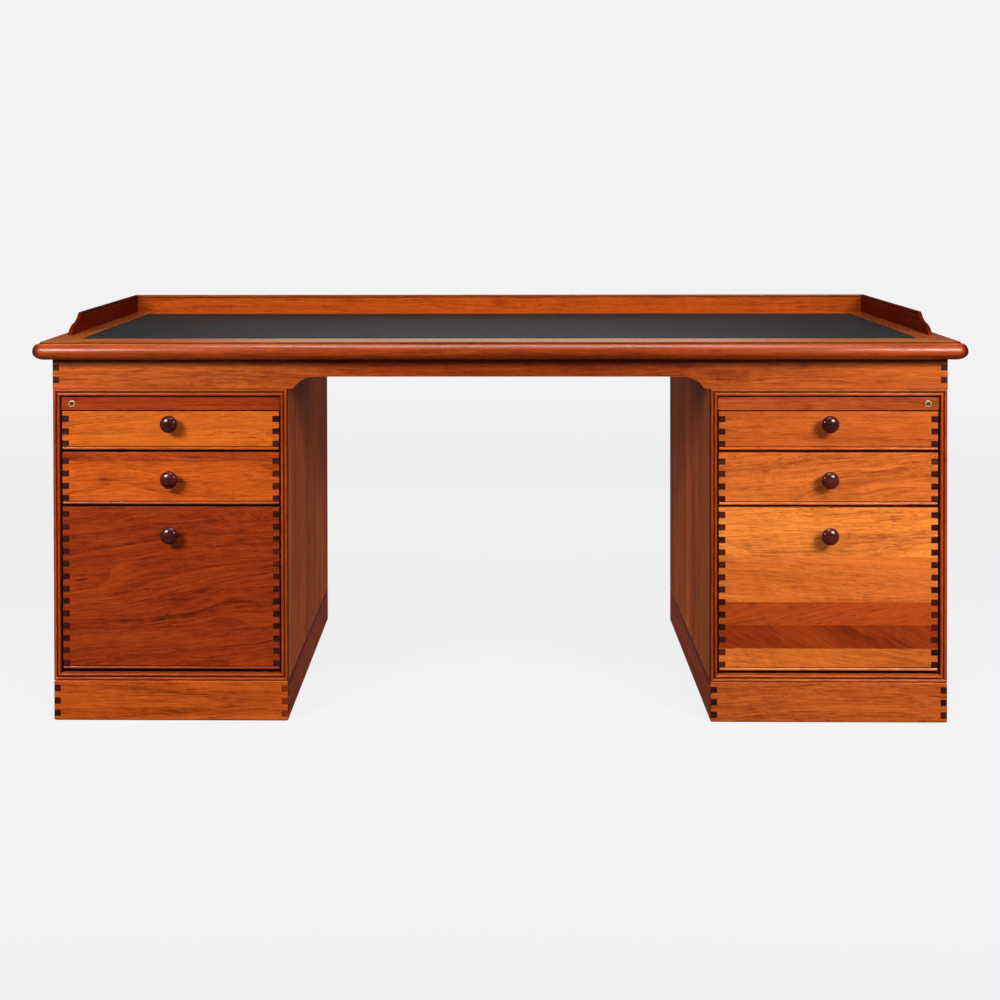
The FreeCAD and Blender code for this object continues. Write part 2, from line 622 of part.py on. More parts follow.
def gallery():
    """Three rails standing on the top, mitred at the back corners."""
    inner_x = TOP_X - GALLERY_INSET - GALLERY_THICKNESS
    outer_x = TOP_X - GALLERY_INSET
    inner_y = TOP_Y - GALLERY_INSET - GALLERY_THICKNESS
    outer_y = TOP_Y - GALLERY_INSET
    z = TOP_Z[1]
    side = gallery_section().extrude(Y_AXIS * (outer_y + TOP_Y))
    side.translate(vector(inner_x, -TOP_Y, z))
    side_plan = outline([
        vector(inner_x, -TOP_Y, z), vector(outer_x, -TOP_Y, z),
        vector(outer_x, outer_y, z), vector(inner_x, inner_y, z),
    ])
    side = side.common(side_plan.extrude(Z_AXIS * GALLERY_HEIGHT)).common(ramp())
    back = gallery_section()
    back.rotate(vector(0, 0, 0), Z_AXIS, 90)
    back = back.extrude(X_AXIS * 2 * outer_x)
    back.translate(vector(-outer_x, inner_y, z))
    back_plan = outline([
        vector(-inner_x, inner_y, z), vector(inner_x, inner_y, z),
        vector(outer_x, outer_y, z), vector(-outer_x, outer_y, z),
    ])
    back = back.common(back_plan.extrude(Z_AXIS * GALLERY_HEIGHT))
    return {"gallery_back_rail": back, "gallery_right_rail": side, "gallery_left_rail": mirrored(side)}


def desk():
    """Every node of the desk: its name and its solids."""
    blocks, bolts = fixings()
    nodes = {**top(), **gallery(), **apron(), "apron_blocks": blocks, "fixing_bolts": bolts}
    for name, shape in pedestal().items():
        pieces = shape if isinstance(shape, list) else [shape]
        nodes[f"left_{name}"] = pieces
        nodes[f"right_{name}"] = [mirrored(piece) for piece in pieces]
    case, turning = lock()
    nodes["lock_cases"] = [case, mirrored(case)]
    nodes["left_lock_barrel"] = turning
    nodes["right_lock_barrel"] = [mirrored(piece) for piece in turning]
    return nodes


def write_steps():
    os.makedirs("parts", exist_ok=True)
    for name, shape in desk().items():
        pieces = shape if isinstance(shape, list) else [shape]
        whole = pieces[0] if len(pieces) == 1 else Part.makeCompound(pieces)
        whole.exportStep(f"parts/{name}.step")


write_steps()
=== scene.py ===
"""Looks of a pedestal desk: its wood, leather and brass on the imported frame, and the stage that it stands on.

Laid out as an add-on. Every operator finishes one group of pieces, and main() calls them in order.
Metres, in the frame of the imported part: +X to the sitter's right, +Y away from the sitter, +Z up.
"""
from collections import namedtuple
from math import radians

import bmesh
import bpy
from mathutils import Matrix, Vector


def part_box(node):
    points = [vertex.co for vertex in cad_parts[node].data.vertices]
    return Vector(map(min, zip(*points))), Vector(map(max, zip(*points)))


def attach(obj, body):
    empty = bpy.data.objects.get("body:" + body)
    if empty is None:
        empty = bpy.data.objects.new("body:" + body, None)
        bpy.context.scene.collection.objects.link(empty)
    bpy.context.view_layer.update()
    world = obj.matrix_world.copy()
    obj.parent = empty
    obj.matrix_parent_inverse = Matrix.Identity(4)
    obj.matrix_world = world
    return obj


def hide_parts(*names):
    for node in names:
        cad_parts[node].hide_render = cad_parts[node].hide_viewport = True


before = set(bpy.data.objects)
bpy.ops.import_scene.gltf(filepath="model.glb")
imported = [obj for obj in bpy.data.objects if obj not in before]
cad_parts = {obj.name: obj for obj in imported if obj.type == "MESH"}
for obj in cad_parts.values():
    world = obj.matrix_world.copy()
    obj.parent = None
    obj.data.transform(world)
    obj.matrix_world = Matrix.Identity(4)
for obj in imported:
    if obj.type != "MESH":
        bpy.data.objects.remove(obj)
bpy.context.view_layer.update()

bl_info = {
    "name": "Pedestal Desk Finishes",
    "version": (1, 0, 0),
    "blender": (4, 5, 0),
    "location": "View3D > Sidebar > Desk",
    "description": "Finishes the boards, leather, knobs and locks of a pedestal desk, and lights it",
    "category": "Object",
}

SIDES = ("left", "right")
DRAWERS = ("top", "middle", "bottom")

FINGER_PITCH = 0.0244  # From one finger of a joint to the next in the same board
BEYOND = 1.0  # Past the end of any piece
SAME_PLACE = 0.00001  # Corners nearer than this are one corner
SHARP = radians(40)  # The least angle of an edge that is softened
CROSSING = radians(28)  # From the grain to the ripples across it
WOOD_RELIEF, HIDE_RELIEF = 0.00012, 0.0002  # How deep pores and pebbles seem
KNOB_RINGS, BRASS_RINGS = 5200.0, 9000.0  # How close the lathe's rings are, in radians per metre

# How a board's own frame is turned so that its grain runs along the texture's X
GRAIN_TURNS = {"X": (0.0, 0.0, 0.0), "Y": (0.0, 0.0, radians(-90)), "Z": (0.0, radians(90), 0.0)}
GRAIN_AXES = {"X": (1.0, 0.0, 0.0), "Y": (0.0, 1.0, 0.0), "Z": (0.0, 0.0, 1.0)}

# What the figure multiplies a board's tone by, from its darkest line to its lightest
FIGURE_SHADES = [
    (0.0, (0.42, 0.30, 0.25, 1)), (0.30, (0.76, 0.68, 0.62, 1)),
    (0.62, (1.04, 1.04, 1.02, 1)), (1.0, (1.28, 1.42, 1.46, 1)),
]

# Painted shade between two heights: its strength, and the height over which it fades in from below
Seam = namedtuple("Seam", "low high strength fade")


def grey(level):
    """A grey that a colour ramp passes on as that number."""
    return (level, level, level, 1.0)


def linear(colour, share=1.0):
    """That share of a screen colour, as a shader takes it."""
    channels = [c * share for c in colour]
    return (*[c / 12.92 if c <= 0.04045 else ((c + 0.055) / 1.055) ** 2.4 for c in channels], 1.0)


def tone_property(name, red, green, blue):
    """A colour as it is read off a screen, 0 to 255."""
    return bpy.props.FloatVectorProperty(
        name=name, default=(red / 255, green / 255, blue / 255), subtype="COLOR_GAMMA", size=3, min=0, max=1)


def number_property(name, value, **limits):
    return bpy.props.FloatProperty(name=name, default=value, **limits)


def length_property(name, metres):
    return number_property(name, metres, unit="LENGTH", subtype="DISTANCE", min=0)


def share_property(name, share):
    return number_property(name, share, subtype="FACTOR", min=0, max=1)


def power_property(name, watts):
    return number_property(name, watts, unit="POWER", min=0)


def beam_property(name, degrees):
    return number_property(
        name, radians(degrees), subtype="ANGLE", unit="ROTATION", min=radians(1), max=radians(180))


def place_property(name, metres):
    return bpy.props.FloatVectorProperty(
        name=name, default=metres, subtype="TRANSLATION", unit="LENGTH", size=3)


class WoodFinish(bpy.types.PropertyGroup):
    """Tones and surface of the lacquered hardwood."""

    straw: tone_property("Palest drawer boards", 229, 129, 52)
    honey: tone_property("Yellower boards of the right-hand drawers", 208, 106, 41)
    amber: tone_property("Bright orange-brown boards", 194, 93, 25)
    copper: tone_property("Boards between orange and honey", 191, 90, 33)
    orange: tone_property("The desk's usual tone", 187, 82, 23)
    rust: tone_property("Boards between russet and copper", 173, 78, 31)
    russet: tone_property("Redder, darker boards", 166, 66, 19)
    chestnut: tone_property("Deep red-brown boards", 145, 52, 14)
    garnet: tone_property("Dark red boards", 116, 27, 4)
    # The darkest red, painted as shade on the top's sideways ends and on the pedestals' bottom panels
    oxblood: tone_property("The darkest, reddest boards", 90, 20, 3)
    # Also the dark colour of the painted shade in valleys and bands
    end_grain_and_shade: tone_property("Sawn ends of the boards", 54, 13, 8)
    bare: tone_property("Unlacquered wood inside the desk", 176, 112, 70)
    pores: tone_property("What the open pores multiply the tone by", 150, 96, 78)
    arris: length_property("Width of the softened edges of flat boards", 0.0005)
    gloss: share_property("Roughness of the satin lacquer", 0.30)
    specular: share_property("Reflection of the satin lacquer", 0.16)
    top_gloss: share_property("Roughness of the polished top", 0.24)
    top_specular: share_property("Reflection of the polished top", 0.32)
    side_gloss: share_property("Roughness of the pedestals' sides", 0.38)
    side_specular: share_property("Reflection of the pedestals' sides", 0.3)
    dull_gloss: share_property("Roughness of rubbed edges", 0.5)
    dull_specular: share_property("Reflection of rubbed edges", 0.02)
    bare_gloss: share_property("Roughness of unlacquered wood", 0.62)
    bare_specular: share_property("Reflection of unlacquered wood", 0.1)


class PaintedShade(bpy.types.PropertyGroup):
    """Sizes of the painted shade: dark bands painted where shade falls on the wood."""

    step: length_property("Height of the dark step under the top's upper face", 0.0046)
    quirk_foot: length_property("From the gallery's top down to the foot of its dark line", 0.0068)
    quirk_top: length_property("From the gallery's top down to the top of its dark line", 0.0044)
    shadow: length_property("Height of the apron's dark upper edge", 0.020)
    lip: length_property("Height of the dark line at the foot of each drawer front", 0.0014)
    plinth: length_property("Height of the dark upper edge of a plinth's sides", 0.010)
    valley: length_property("How far behind its reeds' crests a moulding is darkest", 0.0024)
    crest: length_property("How far behind them it starts to darken", 0.0008)
    blur: length_property("Half the height over which a dark line ends above", 0.0002)


class KnobFinish(bpy.types.PropertyGroup):
    """The turned knobs of dark, polished wood."""

    tone: tone_property("Main tone of the turned wood", 98, 34, 28)
    streak: tone_property("Darker streaks", 42, 14, 13)
    gloss: share_property("Roughness of the polish", 0.16)


class LeatherFinish(bpy.types.PropertyGroup):
    """The leather let into the top."""

    tone: tone_property("Colour of the hide", 38, 37, 40)
    crease: tone_property("Colour between the pebbles of the grain", 18, 16, 18)
    pebble: length_property("Size of one pebble of the grain", 0.0016)
    gap: length_property("Groove between the leather and the wood", 0.0006)
    tuck: length_property("How far the pressed edge lies below the field", 0.0005)
    tuck_width: length_property("Width of the pressed edge", 0.004)
    gloss: share_property("Roughness of the hide", 0.42)


class MetalFinish(bpy.types.PropertyGroup):
    """Lock cases, barrels and fixing bolts."""

    brass: tone_property("Polished brass", 228, 208, 146)
    barrel: tone_property("Worn brass of the barrels", 112, 74, 36)
    tarnish: tone_property("Brass in its recesses", 120, 92, 44)
    steel: tone_property("Plain steel", 168, 168, 172)
    gloss: share_property("Roughness of the polished brass", 0.3)


class StageSettings(bpy.types.PropertyGroup):
    """Floor, lamps and camera."""

    backdrop: tone_property("Colour of the floor and of what lies behind", 243, 242, 243)
    backdrop_mirror: share_property("How bright the backdrop is in the polish", 0.75)
    backdrop_reach: share_property("Half width of the bright part that the top mirrors", 0.21)
    floor: tone_property("Colour of the floor near the desk", 246, 245, 246)
    floor_size: length_property("Side of the square floor", 40.0)
    floor_glow: share_property("How much backdrop the floor near the desk holds", 0.93)
    floor_bounce: share_property("How much light the floor throws back at the desk", 0.45)
    floor_fade: length_property("Distance at which the floor becomes the backdrop", 5.0)
    ambient: share_property("Strength of the light from all round", 0.09)
    dusk: share_property("How bright the rest of the room is in the polish", 0.06)
    lamp_place: place_property("Right soft lamp; the left one mirrors it", (1.5, -1.75, 1.42))
    lamp_width: length_property("Width of each soft lamp", 0.7)
    lamp_height: length_property("Height of each soft lamp", 0.6)
    lamp_spread: beam_property("Angle of each soft lamp's beam", 80)
    lamp_power: power_property("Power of each soft lamp", 9.1)
    strip_place: place_property("Long lamp above the front", (0.25, -1.9, 3.5))
    strip_length: length_property("Length of the lamp above", 2.2)
    strip_width: length_property("Width of the lamp above", 0.25)
    strip_power: power_property("Power of the lamp above", 36.0)
    back_place: place_property("Lamp behind the desk", (0.0, 3.0, 0.95))
    back_target: place_property("What the lamp behind the desk looks at", (0.0, 0.4, 0.42))
    back_width: length_property("Width of the lamp behind the desk", 1.6)
    back_power: power_property("Power of the lamp behind the desk", 15.0)
    side_place: place_property("Right side lamp; the left one mirrors it", (2.7, 1.2, 0.45))
    side_target: place_property("What the right side lamp looks at", (0.9, -0.05, 0.4))
    side_spread: beam_property("Angle of each side lamp's beam", 42)
    side_power: power_property("Power of each side lamp", 1.7)
    glint_place: place_property("Lamp that only the polish shows", (0.0, -0.5, 3.4))
    glint_power: power_property("Power of that lamp", 90.0)
    camera_place: place_property("Place of the camera", (0.0, -3.4813, 1.0468))
    camera_turn: bpy.props.FloatVectorProperty(
        name="Camera's pitch upwards, roll and turn to the left", subtype="EULER", unit="ROTATION",
        default=(radians(-0.661), radians(0.106), radians(0.846)), size=3)
    sensor: number_property("Width of the sensor in millimetres", 36.0, min=1)
    lens: number_property("Focal length", 57.6, unit="CAMERA", min=1)
    shift_x: number_property("Sideways shift of the image, in widths", 0.0256)
    shift_y: number_property("Upward shift of the image, in widths", -0.2954)


class Graph:
    """Adds nodes to a node tree and joins their sockets."""

    def __init__(self, tree):
        self.tree = tree

    def feed(self, socket, value):
        if isinstance(value, bpy.types.NodeSocket):
            self.tree.links.new(value, socket)
        else:
            socket.default_value = value

    def add(self, kind, inputs=None, **settings):
        node = self.tree.nodes.new(kind)
        for name, value in settings.items():
            setattr(node, name, value)
        for key, value in (inputs or {}).items():
            self.feed(node.inputs[key], value)
        return node

    def coordinate(self, kind="Object"):
        return self.add("ShaderNodeTexCoord").outputs[kind]

    def parts(self, vector):
        """The X, Y and Z of a vector."""
        return self.add("ShaderNodeSeparateXYZ", {0: vector}).outputs

    def joined(self, x=0.0, y=0.0, z=0.0):
        return self.add("ShaderNodeCombineXYZ", {0: x, 1: y, 2: z}).outputs[0]

    def math(self, operation, first, second=0.0, third=0.0):
        return self.add("ShaderNodeMath", {0: first, 1: second, 2: third}, operation=operation).outputs[0]

    def times(self, first, second, plus=0.0):
        return self.math("MULTIPLY_ADD", first, second, plus)

    def vector(self, operation, first, second=(0.0, 0.0, 0.0)):
        """Arithmetic with vectors; a length or a dot product comes out as a number."""
        node = self.add("ShaderNodeVectorMath", {0: first, 1: second}, operation=operation)
        return node.outputs["Value" if operation in ("LENGTH", "DOT_PRODUCT") else "Vector"]

    def turned(self, vector, rotation):
        return self.add("ShaderNodeMapping", {"Vector": vector, "Rotation": rotation}).outputs[0]

    def mix(self, factor, first, second, blend="MIX"):
        """Two colours mixed."""
        node = self.add("ShaderNodeMix", {0: factor, 6: first, 7: second}, data_type="RGBA", blend_type=blend)
        return node.outputs[2]

    def choose(self, factor, first, second):
        """The first vector where the factor is 0, and the second where it is 1."""
        return self.add("ShaderNodeMix", {0: factor, 4: first, 5: second}, data_type="VECTOR").outputs[1]

    def spread(self, value, low, high, to_low=0.0, to_high=1.0):
        """The value stretched so that low becomes to_low and high becomes to_high, and held there."""
        limits = {"Value": value, "From Min": low, "From Max": high, "To Min": to_low, "To Max": to_high}
        return self.add("ShaderNodeMapRange", limits).outputs[0]

    def noise(self, vector, stretch, detail=2.0, roughness=0.5, distortion=0.0):
        """Noise with that many blotches per metre along each axis."""
        settings = {"Vector": self.vector("MULTIPLY", vector, stretch), "Scale": 1.0, "Detail": detail,
                    "Roughness": roughness, "Distortion": distortion}
        return self.add("ShaderNodeTexNoise", settings).outputs[0]

    def ramp(self, factor, stops, interpolation="LINEAR"):
        """A colour ramp; each stop is a place from 0 to 1 and a linear colour."""
        node = self.add("ShaderNodeValToRGB", {0: factor})
        node.color_ramp.interpolation = interpolation
        elements = node.color_ramp.elements
        while len(elements) < len(stops):
            elements.new(1.0)
        for element, (place, colour) in zip(elements, stops):
            element.position = place
            element.color = colour
        return node.outputs[0]


class MaterialGraph(Graph):
    """The nodes of a new material with a Principled shader."""

    def __init__(self, name):
        self.material = bpy.data.materials.new(name)
        self.material.use_nodes = True
        super().__init__(self.material.node_tree)
        self.shader = next(node for node in self.tree.nodes if node.type == "BSDF_PRINCIPLED")

    def finish(self, colour, roughness, specular=0.5, metallic=0.0):
        """Feeds the shader, and gives the material."""
        values = {"Base Color": colour, "Roughness": roughness, "Specular IOR Level": specular,
                  "Metallic": metallic}
        for name, value in values.items():
            self.feed(self.shader.inputs[name], value)
        return self.material

    def bump(self, height, strength, distance):
        """Feeds the shader's normal with a height, where 1 is that distance."""
        node = self.add("ShaderNodeBump", {"Strength": strength, "Distance": distance, "Height": height})
        self.feed(self.shader.inputs["Normal"], node.outputs[0])


def open_group(name, inputs):
    """A new node group's graph and the sockets that feed it; inputs gives their names and default values."""
    tree = bpy.data.node_groups.new(name, "ShaderNodeTree")
    for socket_name, default in inputs.items():
        kind = "NodeSocketVector" if isinstance(default, tuple) else "NodeSocketFloat"
        socket = tree.interface.new_socket(name=socket_name, in_out="INPUT", socket_type=kind)
        socket.default_value = default
    graph = Graph(tree)
    return graph, graph.add("NodeGroupInput").outputs


def close_group(graph, outputs):
    """Makes the group's outputs, each fed by the socket that goes with its name."""
    for name, source in outputs.items():
        kind = "NodeSocketVector" if source.type == "VECTOR" else "NodeSocketFloat"
        graph.tree.interface.new_socket(name=name, in_out="OUTPUT", socket_type=kind)
    graph.add("NodeGroupOutput", outputs)
    return graph.tree


def build_figure_group():
    """The figure of sawn wood along X: a tone from 0, dark, to 1, light, the open pores and a relief."""
    graph, given = open_group("wood_figure", {
        "Vector": (0, 0, 0), "Seed": 0.0, "Streaks": 60.0, "Sweep": 0.01, "Rings": 0.08, "Ripple": 0.08})
    seed_step = graph.vector("MULTIPLY", (1.71, 3.13, 0.97), given["Seed"])
    place = graph.vector("ADD", given["Vector"], seed_step)
    wander = graph.math("SUBTRACT", graph.noise(place, (2.2, 5.0, 5.0), 2.0), 0.5)
    drift = graph.times(wander, graph.times(given["Sweep"], 4.0))
    swept = graph.vector("ADD", place, graph.joined(0.0, drift, drift))
    fine = graph.times(given["Streaks"], 7.0)
    streak_scale = graph.joined(1.6, given["Streaks"], given["Streaks"])
    broad = graph.noise(swept, (1.3, 14.0, 14.0), 2.0)
    streak = graph.noise(swept, streak_scale, 4.0, 0.62, 0.15)
    line = graph.noise(swept, graph.joined(6.0, fine, fine), 3.0, 0.6)
    fibre = graph.noise(place, (34.0, 400.0, 400.0), 2.0, 0.6)
    mottle = graph.noise(place, (12.0, 46.0, 46.0), 3.0, 0.6)
    total = graph.times(broad, 0.20)
    for part, share in ((streak, 0.22), (line, 0.28), (fibre, 0.22), (mottle, 0.08)):
        total = graph.times(part, share, total)
    growth = graph.times(graph.noise(swept, (0.35, 8.0, 8.0), 1.0), 13.0)
    ring = graph.math("POWER", graph.math("FRACT", growth), 0.5)
    total = graph.times(graph.math("SUBTRACT", ring, 0.67), given["Rings"], total)
    crossed = graph.turned(place, (0.0, CROSSING, CROSSING))
    ripple = graph.noise(crossed, (95.0, 16.0, 16.0), 2.0, 0.5, 0.4)
    total = graph.times(graph.math("SUBTRACT", ripple, 0.5), given["Ripple"], total)
    tone = graph.spread(total, 0.39, 0.61)
    short_pores = graph.spread(graph.noise(swept, (70.0, 900.0, 900.0), 1.0), 0.60, 0.70)
    long_pores = graph.spread(graph.noise(swept, (26.0, 360.0, 360.0), 2.0), 0.62, 0.72)
    crowd = graph.spread(graph.noise(place, (4.0, 30.0, 30.0), 2.0), 0.40, 0.62, 0.15, 1.0)
    pores = graph.times(graph.math("MAXIMUM", short_pores, long_pores), crowd)
    relief = graph.math("SUBTRACT", graph.times(fibre, 0.35), pores)
    return close_group(graph, {"Tone": tone, "Pores": pores, "Relief": relief})


def build_end_group():
    """Where a board shows its sawn end, square to its grain, the end's speckle and its pallor."""
    graph, given = open_group(
        "sawn_ends", {"Vector": (0, 0, 0), "Grain Axis": (1, 0, 0), "Place": (0, 0, 0), "Seed": 0.0})
    square = graph.vector("DOT_PRODUCT", graph.coordinate("Normal"), given["Grain Axis"])
    mask = graph.spread(graph.math("ABSOLUTE", square), 0.72, 0.92)
    speckle = graph.spread(graph.noise(given["Vector"], (420.0, 420.0, 420.0), 3.0, 0.6), 0.35, 0.65)
    cell = graph.vector("MULTIPLY", given["Place"], (3.1, 0.0, 1 / FINGER_PITCH))
    finger = graph.vector("FLOOR", graph.vector("ADD", cell, given["Seed"]))
    chance = graph.add("ShaderNodeTexWhiteNoise", {"Vector": finger}, noise_dimensions="3D").outputs["Value"]
    return close_group(graph, {"Mask": mask, "Speckle": speckle, "Pallor": graph.math("POWER", chance, 2.0)})


def build_frame_grain_group():
    """Grain that follows a mitred frame: along X in the lower and upper bars, along Z in the uprights."""
    graph, given = open_group(
        "mitred_grain", {"Vector": (0, 0, 0), "Centre": (0, 0, 0), "Half Size": (1, 1, 1)})
    reach = graph.vector("ABSOLUTE", graph.vector("SUBTRACT", given["Vector"], given["Centre"]))
    inset = graph.parts(graph.vector("SUBTRACT", given["Half Size"], reach))
    upright = graph.math("LESS_THAN", inset[0], inset[2])
    along_x, across, along_z = graph.parts(given["Vector"])
    along = graph.choose(upright, given["Vector"], graph.joined(along_z, across, along_x))
    axis = graph.choose(upright, GRAIN_AXES["X"], GRAIN_AXES["Z"])
    return close_group(graph, {"Vector": along, "Upright": upright, "Grain Axis": axis})


def build_stave_group():
    """Boards glued edge to edge: a shade for each, from -1 to 1, and the fine line between them."""
    graph, given = open_group("glued_staves", {"Across": 0.0, "Width": 0.1, "Seed": 0.0})
    count = graph.math("ADD", graph.math("DIVIDE", given["Across"], given["Width"]), given["Seed"])
    index = graph.math("FLOOR", count)
    chance = graph.add("ShaderNodeTexWhiteNoise", {"W": index}, noise_dimensions="1D").outputs["Value"]
    shade = graph.spread(chance, 0.0, 1.0, -1.0, 1.0)
    place = graph.math("FRACT", count)
    nearest = graph.math("MINIMUM", place, graph.math("SUBTRACT", 1.0, place))
    seam = graph.spread(graph.times(nearest, given["Width"]), 0.0002, 0.0007, 1.0, 0.0)
    return close_group(graph, {"Shade": shade, "Seam": seam})


def group_node(graph, name, inputs):
    """A shared group placed in a material with its own values."""
    builders = {
        "wood_figure": build_figure_group, "sawn_ends": build_end_group,
        "mitred_grain": build_frame_grain_group, "glued_staves": build_stave_group,
    }
    tree = bpy.data.node_groups.get(name) or builders[name]()
    return graph.add("ShaderNodeGroup", inputs, node_tree=tree).outputs


def new_piece(name, form, material):
    """The bmesh as an object at the origin, with that material."""
    mesh = bpy.data.meshes.new(name)
    form.to_mesh(mesh)
    form.free()
    mesh.materials.append(material)
    piece = bpy.data.objects.new(name, mesh)
    bpy.context.scene.collection.objects.link(piece)
    return piece


def paint(node_name, material):
    """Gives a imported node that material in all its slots."""
    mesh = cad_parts[node_name].data
    mesh.materials.clear()
    mesh.materials.append(material)


def board(node_name, *look, soft=False, **settings):
    """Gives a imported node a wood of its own, and softens its edges if it is soft."""
    paint(node_name, wood(f"{node_name}_wood", *look, **settings))
    if soft:
        soften(node_name)


def soften(node_name):
    """Softens the sharp edges of a node whose faces are all flat."""
    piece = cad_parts[node_name]
    weld = piece.modifiers.new("weld", "WELD")
    weld.merge_threshold = SAME_PLACE
    bevel = piece.modifiers.new("arris", "BEVEL")
    bevel.width = bpy.context.scene.desk_wood.arris
    bevel.segments = 2
    bevel.profile = 0.5
    bevel.limit_method = "ANGLE"
    bevel.angle_limit = SHARP
    bevel.harden_normals = True


def wood_tone(name, share=1.0):
    """A tone of WoodFinish, or a share of it, as a shader takes it."""
    return linear(getattr(bpy.context.scene.desk_wood, name), share)


def stacked_boards(graph, place, staves, seed):
    """Boards glued one above another: their tones, their seeds, and the place turned along their grain."""
    (low, high), bands = staves
    starts, tones, tilts = zip(*bands)
    share = graph.spread(graph.parts(place)[2], low, high)

    def stepped(colours):
        return graph.ramp(share, list(zip(starts, colours)), "CONSTANT")

    base = stepped([wood_tone(tone) for tone in tones])
    number = stepped([grey(index / 16) for index in range(len(bands))])
    raised = stepped([grey(0.5 + radians(degrees)) for degrees in tilts])  # A ramp has no negative greys
    tilt = graph.math("SUBTRACT", raised, 0.5)
    return base, graph.times(number, 37.0, seed), graph.turned(place, graph.joined(y=tilt))


def board_tone(graph, place, facing, base, middle, flanks, upper):
    """A board's tone, with painted shade on its middle or its flanks, and painted light on its upper faces."""
    if middle:
        # A tone painted as shade towards the middle of the desk
        painted_shade_middle, reach = middle
        sideways = graph.math("ABSOLUTE", graph.parts(place)[0])
        base = graph.mix(graph.spread(sideways, reach * 0.35, reach), wood_tone(painted_shade_middle), base)
    if flanks:
        # Painted shade on the faces that look sideways
        flank_shade = graph.spread(graph.math("ABSOLUTE", facing["X"]), 0.12, 0.6)
        base = graph.mix(flank_shade, base, wood_tone(flanks))
    if upper:
        # Painted light: the upper tone on the faces that look up
        base = graph.mix(facing["up"], base, wood_tone(upper))
    return base


def figured(graph, place, base, figure, contrast, glued, seed):
    """The tone with the figure, the shades and seams of a panel's staves, and the open pores."""
    colour = graph.mix(contrast, base, graph.ramp(figure["Tone"], FIGURE_SHADES), "MULTIPLY")
    if glued:
        axis, width, difference = glued
        across = graph.parts(place)[axis]
        stave = group_node(graph, "glued_staves", {"Across": across, "Width": width, "Seed": seed})
        level = graph.times(stave["Shade"], difference, 1.0)
        colour = graph.mix(1.0, colour, graph.joined(level, level, level), "MULTIPLY")
        colour = graph.mix(graph.times(stave["Seam"], 0.35), colour, wood_tone("end_grain_and_shade"))
    pored = graph.mix(1.0, colour, wood_tone("pores"), "MULTIPLY")
    return graph.mix(graph.times(figure["Pores"], 0.75), colour, pored)


def sawn_colour(graph, place, base, ends, faint):
    """The colour of a board's sawn end: dark and speckled, some ends paler, and those within faint palest."""
    colour = graph.mix(ends["Speckle"], wood_tone("end_grain_and_shade"), wood_tone("end_grain_and_shade", 0.62))
    pallor = graph.times(ends["Pallor"], 0.2)
    if faint:
        parts = graph.parts(place)
        inside = 1.0
        for axis, limits in zip("XZ", faint):
            for limit, below in zip(limits, (0.0, 1.0)):
                side = graph.spread(parts[axis], limit - 0.001, limit + 0.001, below, 1.0 - below)
                inside = graph.times(side, inside)
        pallor = graph.math("MAXIMUM", pallor, graph.times(inside, 0.8))
    return graph.mix(pallor, colour, graph.mix(1.0, base, (0.62, 0.50, 0.46, 1), "MULTIPLY"))


def with_painted_shade(graph, place, up, colour, crests, seam):
    """The colour with painted shade in a moulding's valleys and along a band, but not on upper faces."""
    # polish holds the sizes of the painted shade
    polish = bpy.context.scene.desk_polish
    parts = graph.parts(place)
    upright = graph.math("SUBTRACT", 1.0, up)
    # Painted shade in the valleys between the reeds, darkest furthest behind the crests
    if crests:
        depth = graph.math("ABSOLUTE", parts["Y"])
        valley = graph.spread(depth, crests - polish.valley, crests - polish.crest, 0.8, 0.0)
        colour = graph.mix(graph.times(valley, upright), colour, wood_tone("end_grain_and_shade", 0.6))
    # Painted shade along the band, fading in from below and ending sharply above
    if seam:
        painted_band_shade = graph.times(
            graph.spread(parts["Z"], seam.low, seam.low + seam.fade, 0.0, seam.strength),
            graph.spread(parts["Z"], seam.high - polish.blur, seam.high + polish.blur, 1.0, 0.0))
        colour = graph.mix(graph.times(painted_band_shade, upright), colour, wood_tone("end_grain_and_shade", 0.5))
    return colour


